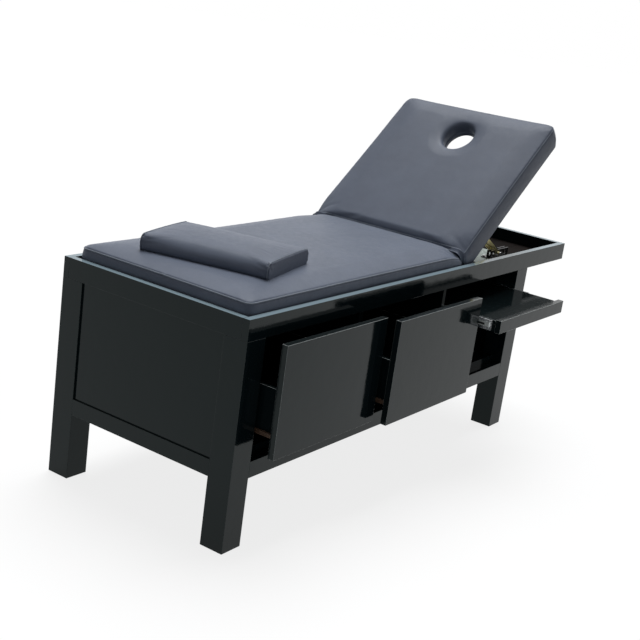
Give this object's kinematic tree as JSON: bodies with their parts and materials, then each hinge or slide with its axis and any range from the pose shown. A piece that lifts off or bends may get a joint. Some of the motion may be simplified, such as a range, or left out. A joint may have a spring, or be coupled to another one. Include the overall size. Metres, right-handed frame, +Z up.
{
  "type": "spa bed with cabinet base",
  "caption": "Spa and massage bed on a black lacquered cabinet with drawers, a pull-out tray and an open bay, with a padded seat, a tilting backrest with a face hole, and a loose pillow.",
  "frame": {"origin": "On the floor, at the middle of the box that the bed fills as it stands, with its drawers and tray out", "axes": "+X towards the head end with the backrest, -Y towards the side with the drawers and the tray, +Z up"},
  "size_m": [1.96, 0.897, 1.1407],
  "materials": {
    "black_lacquer": "glossy black lacquer on wood, mirror-like",
    "brown_board": "dark brown melamine-faced board, satin",
    "bare_wood": "unfinished pine battens and birch plywood",
    "upholstery": "smooth slate grey upholstery leather over foam, soft satin sheen",
    "galvanised_steel": "galvanised sheet, dull and pale",
    "black_steel": "black powder-coated steel, satin",
    "yellow_zinc": "yellow zinc-plated flat steel",
    "bright_steel": "bright zinc-plated steel",
    "brown_epoxy": "brown epoxy-coated steel, satin",
    "roller_plastic": "white nylon"
  },
  "bodies": {
    "base": {"leg_foot_front": "black_lacquer", "leg_foot_back": "black_lacquer", "leg_head_front": "black_lacquer", "leg_head_back": "black_lacquer", "rim_front": "black_lacquer", "rim_back": "black_lacquer", "rim_foot": "black_lacquer", "rim_head": "black_lacquer", "lower_rail_front": "black_lacquer", "lower_rail_back": "black_lacquer", "lower_rail_foot": "black_lacquer", "lower_rail_head": "black_lacquer", "foot_end_panel": "black_lacquer", "head_end_panel": "black_lacquer", "back_panel": "black_lacquer", "floor_board": "black_lacquer", "deck_board": "brown_board", "partition_1": "black_lacquer", "partition_2": "black_lacquer", "slide_battens": "black_lacquer", "drawer_slide_channels": "brown_epoxy", "tray_slide_outers": "bright_steel", "seat_cushion": "upholstery", "seat_battens": "bare_wood", "seat_ply": "bare_wood", "hinge_seat_leaves": "bright_steel", "hinge_pins": "bright_steel", "stay_racks": "black_steel", "stay_base_plates": "galvanised_steel", "stay_bolts": "bright_steel"},
    "backrest": {"back_cushion": "upholstery", "back_battens": "bare_wood", "back_ply": "bare_wood", "hinge_back_leaves": "bright_steel", "prop_brackets": "black_steel"},
    "prop": {"prop_arms": "yellow_zinc", "prop_pins": "bright_steel"},
    "drawer_1": {"drawer_1_front": "black_lacquer", "drawer_1_side_left": "black_lacquer", "drawer_1_side_right": "black_lacquer", "drawer_1_back": "black_lacquer", "drawer_1_bottom": "black_lacquer", "drawer_1_runners": "brown_epoxy"},
    "drawer_2": {"drawer_2_front": "black_lacquer", "drawer_2_side_left": "black_lacquer", "drawer_2_side_right": "black_lacquer", "drawer_2_back": "black_lacquer", "drawer_2_bottom": "black_lacquer", "drawer_2_runners": "brown_epoxy"},
    "drawer_1_front_rollers": {"drawer_1_front_rollers": "roller_plastic"},
    "drawer_1_rear_rollers": {"drawer_1_rear_rollers": "roller_plastic"},
    "drawer_2_front_rollers": {"drawer_2_front_rollers": "roller_plastic"},
    "drawer_2_rear_rollers": {"drawer_2_rear_rollers": "roller_plastic"},
    "tray": {"tray_lip": "black_lacquer", "tray_board": "black_lacquer", "tray_rail_left": "black_lacquer", "tray_rail_right": "black_lacquer", "tray_slide_inners": "bright_steel"},
    "tray_middles": {"tray_slide_middles": "bright_steel"},
    "pillow": {"pillow": "upholstery"}
  },
  "joints": [
    {"name": "backrest_tilt", "type": "hinge", "parent": "base", "child": "backrest", "pos_m": [0.213, 0.0985, 0.6825], "axis": [0, -1, 0], "range_deg": [-37.5, 7.5]},
    {"name": "prop_fold", "type": "hinge", "parent": "backrest", "child": "prop", "pos_m": [0.39268, 0.0985, 0.78508], "axis": [0, 1, 0], "range_deg": [-67, 13.5]},
    {"name": "drawer_1_slide", "type": "slide", "parent": "base", "child": "drawer_1", "axis": [0, -1, 0], "range_m": [-0.074, 0.266]},
    {"name": "drawer_2_slide", "type": "slide", "parent": "base", "child": "drawer_2", "axis": [0, -1, 0], "range_m": [-0.121, 0.219]},
    {"name": "tray_slide", "type": "slide", "parent": "base", "child": "tray", "axis": [0, -1, 0], "range_m": [-0.197, 0.203]},
    {"name": "tray_middle_slide", "type": "slide", "parent": "base", "child": "tray_middles", "axis": [0, -1, 0], "range_m": [-0.0985, 0.1015]},
    {"name": "pillow_lift", "type": "slide", "parent": "base", "child": "pillow", "axis": [0, 0, 1], "range_m": [0, 0.15]},
    {"name": "drawer_1_front_roller_spin", "type": "hinge", "parent": "base", "child": "drawer_1_front_rollers", "pos_m": [-0.65667, -0.2185, 0.3446], "axis": [1, 0, 0], "continuous": true},
    {"name": "drawer_1_rear_roller_spin", "type": "hinge", "parent": "drawer_1", "child": "drawer_1_rear_rollers", "pos_m": [-0.65667, 0.1325, 0.342], "axis": [1, 0, 0], "continuous": true},
    {"name": "drawer_2_front_roller_spin", "type": "hinge", "parent": "base", "child": "drawer_2_front_rollers", "pos_m": [-0.152, -0.2185, 0.3446], "axis": [1, 0, 0], "continuous": true},
    {"name": "drawer_2_rear_roller_spin", "type": "hinge", "parent": "drawer_2", "child": "drawer_2_rear_rollers", "pos_m": [-0.152, 0.0855, 0.342], "axis": [1, 0, 0], "continuous": true}
  ],
  "couplings": [
    {"joint": "prop_fold", "follows": "backrest_tilt", "ratio": 1.7713},
    {"joint": "tray_middle_slide", "follows": "tray_slide", "ratio": 0.5}
  ]
}
